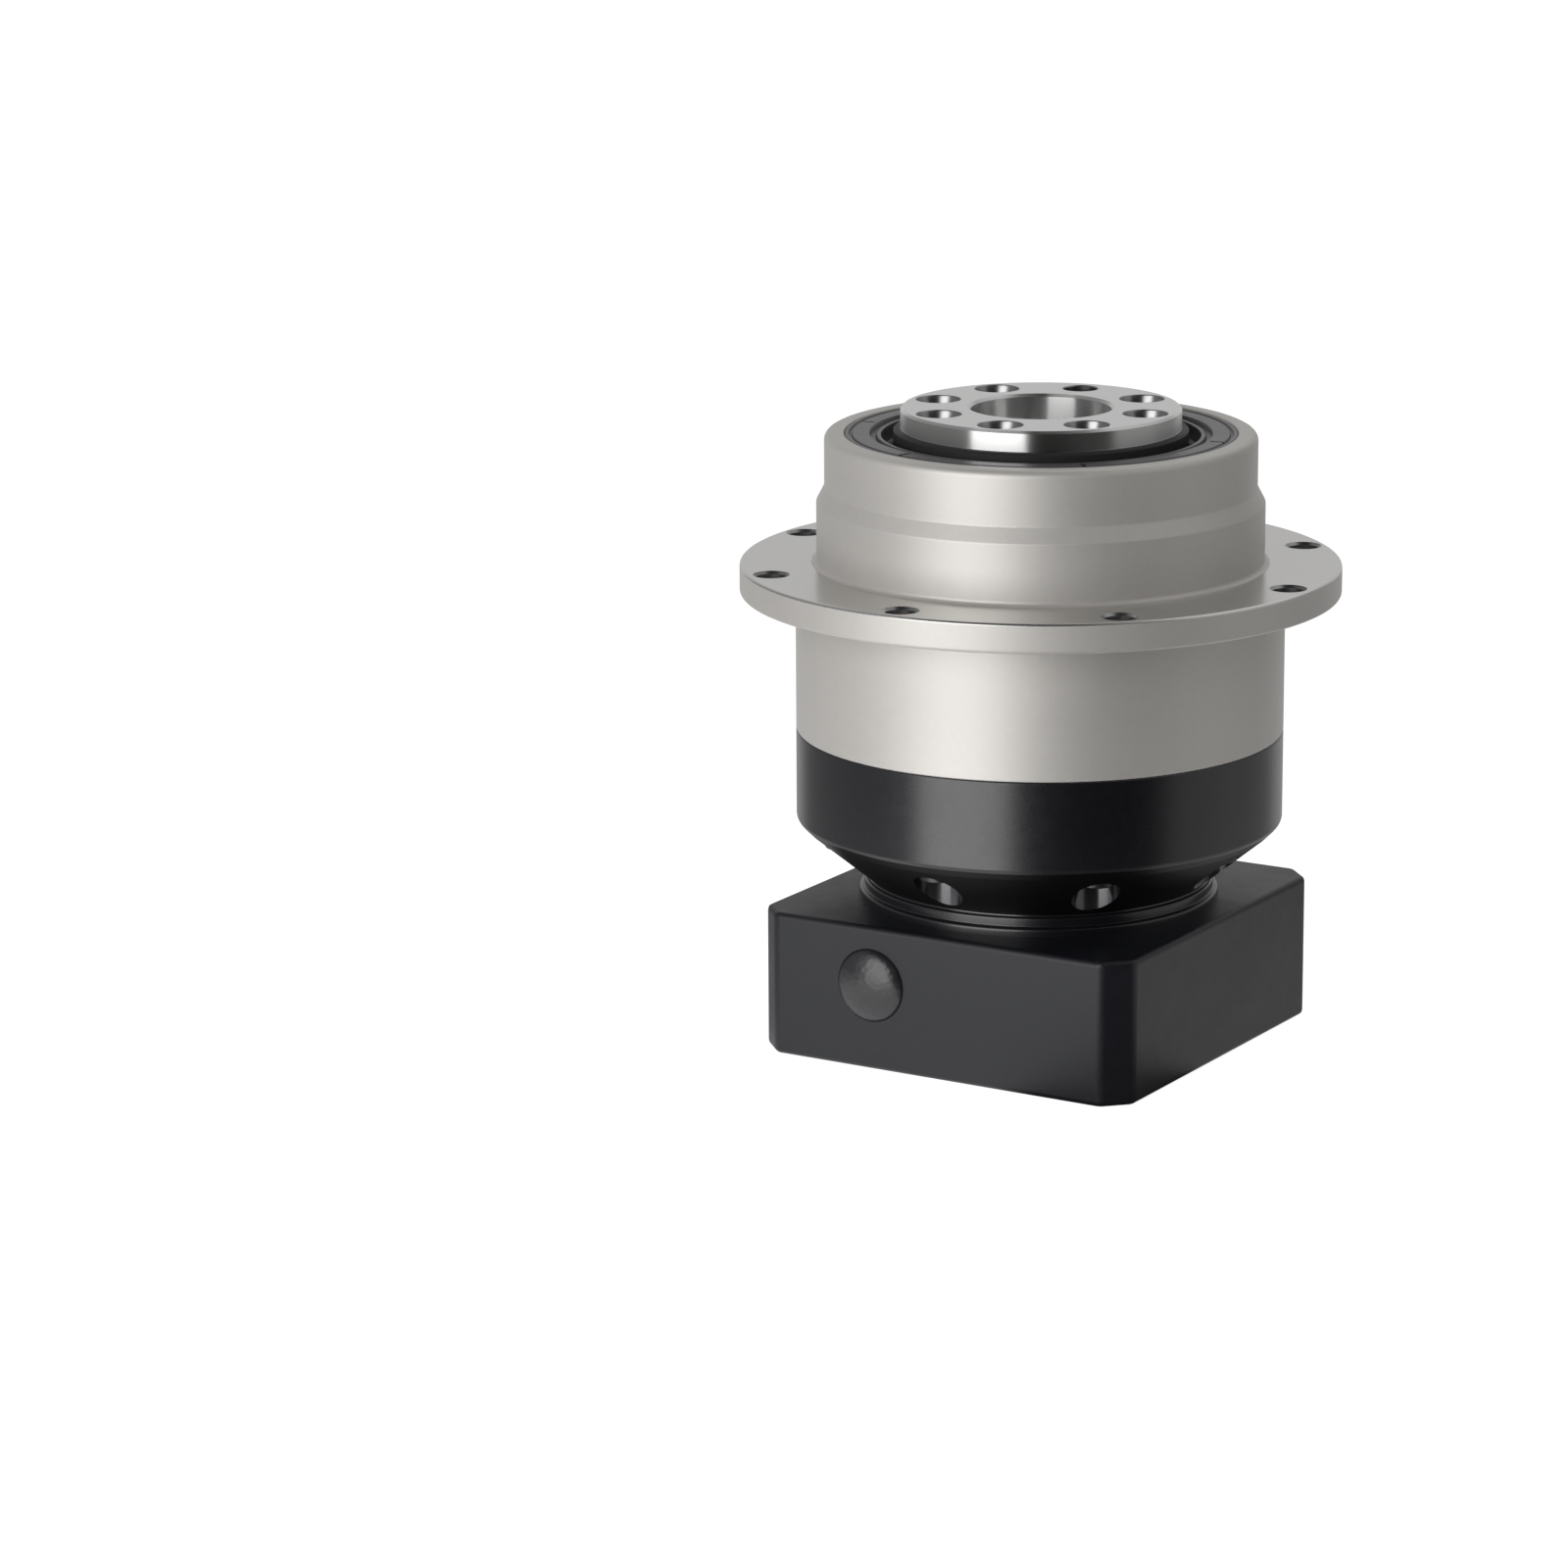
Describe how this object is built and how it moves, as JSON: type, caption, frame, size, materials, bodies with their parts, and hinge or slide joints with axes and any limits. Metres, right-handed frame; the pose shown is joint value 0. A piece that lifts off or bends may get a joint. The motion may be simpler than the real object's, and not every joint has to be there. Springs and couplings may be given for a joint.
{
  "type": "planetary gearbox",
  "caption": "Planetary gearbox with a disc output, flange mount and square motor flange with a clamped input shaft.",
  "frame": {"origin": "on the main axis, at the face of the square flange that meets the motor", "axes": "+Z along the main axis from the motor face to the output disc; the sides of the square flange face X and Y, the screw access plug faces -Y"},
  "size_m": [0.086, 0.086, 0.0921],
  "materials": {
    "black_anodised": "black anodised aluminium, fine matt grain",
    "silver_housing": "satin nickel-plated steel",
    "screw_steel": "bright hardened steel",
    "gear_steel": "ground and case-hardened steel",
    "seal_rubber": "black nitrile rubber, slight gloss",
    "bearing_steel": "ground bearing steel",
    "turned_steel": "turned bright steel",
    "plug_steel": "pressed bright steel",
    "bronze": "sintered bronze",
    "plug_plastic": "black moulded plastic, fine speckle"
  },
  "bodies": {
    "housing": {"input_housing": "black_anodised", "gear_housing": "silver_housing", "housing_screws": "screw_steel", "ring_gear": "gear_steel", "output_seal": "seal_rubber", "output_bearing_lower_race": "bearing_steel", "output_bearing_upper_race": "bearing_steel", "input_bearing_outer_ring": "bearing_steel", "input_shaft_seal": "seal_rubber"},
    "output": {"output_carrier": "turned_steel", "carrier_rear_plate": "turned_steel", "planet_pins": "bearing_steel", "bore_plug": "plug_steel"},
    "output_rollers": {"output_bearing_rollers": "bearing_steel"},
    "planet_1": {"planet_gear_1": "gear_steel", "planet_bush_1": "bronze"},
    "planet_2": {"planet_gear_2": "gear_steel", "planet_bush_2": "bronze"},
    "planet_3": {"planet_gear_3": "gear_steel", "planet_bush_3": "bronze"},
    "input": {"input_shaft": "turned_steel", "sun_gear": "gear_steel", "clamp_ring": "turned_steel", "input_bearing_inner_ring": "bearing_steel"},
    "input_rollers": {"input_bearing_rollers": "bearing_steel"},
    "clamp_screw": {"clamp_screw": "screw_steel"},
    "access_plug": {"access_plug": "plug_plastic"}
  },
  "joints": [
    {"name": "output_spin", "type": "hinge", "parent": "housing", "child": "output", "pos_m": [0, 0, 0.08], "axis": [0, 0, 1], "continuous": true},
    {"name": "input_spin", "type": "hinge", "parent": "housing", "child": "input", "pos_m": [0, 0, 0.03], "axis": [0, 0, 1], "continuous": true},
    {"name": "planet_1_spin", "type": "hinge", "parent": "output", "child": "planet_1", "pos_m": [0.015, 0, 0.0576], "axis": [0, 0, 1], "continuous": true},
    {"name": "planet_2_spin", "type": "hinge", "parent": "output", "child": "planet_2", "pos_m": [-0.0075, 0.01299, 0.0576], "axis": [0, 0, 1], "continuous": true},
    {"name": "planet_3_spin", "type": "hinge", "parent": "output", "child": "planet_3", "pos_m": [-0.0075, -0.01299, 0.0576], "axis": [0, 0, 1], "continuous": true},
    {"name": "output_rollers_spin", "type": "hinge", "parent": "housing", "child": "output_rollers", "pos_m": [0, 0, 0.0754], "axis": [0, 0, 1], "continuous": true},
    {"name": "input_rollers_spin", "type": "hinge", "parent": "housing", "child": "input_rollers", "pos_m": [0, 0, 0.0363], "axis": [0, 0, 1], "continuous": true},
    {"name": "clamp_screw_turn", "type": "hinge", "parent": "input", "child": "clamp_screw", "pos_m": [-0.01055, -0.006, 0.01245], "axis": [0, -1, 0], "range_deg": [0, 360]},
    {"name": "access_plug_pull", "type": "slide", "parent": "housing", "child": "access_plug", "axis": [0, -1, 0], "range_m": [0, 0.008]}
  ],
  "couplings": [
    {"joint": "input_spin", "follows": "output_spin", "ratio": 4},
    {"joint": "planet_1_spin", "follows": "output_spin", "ratio": -3},
    {"joint": "planet_2_spin", "follows": "output_spin", "ratio": -3},
    {"joint": "planet_3_spin", "follows": "output_spin", "ratio": -3},
    {"joint": "output_rollers_spin", "follows": "output_spin", "ratio": 0.47719},
    {"joint": "input_rollers_spin", "follows": "output_spin", "ratio": 1.7846}
  ]
}
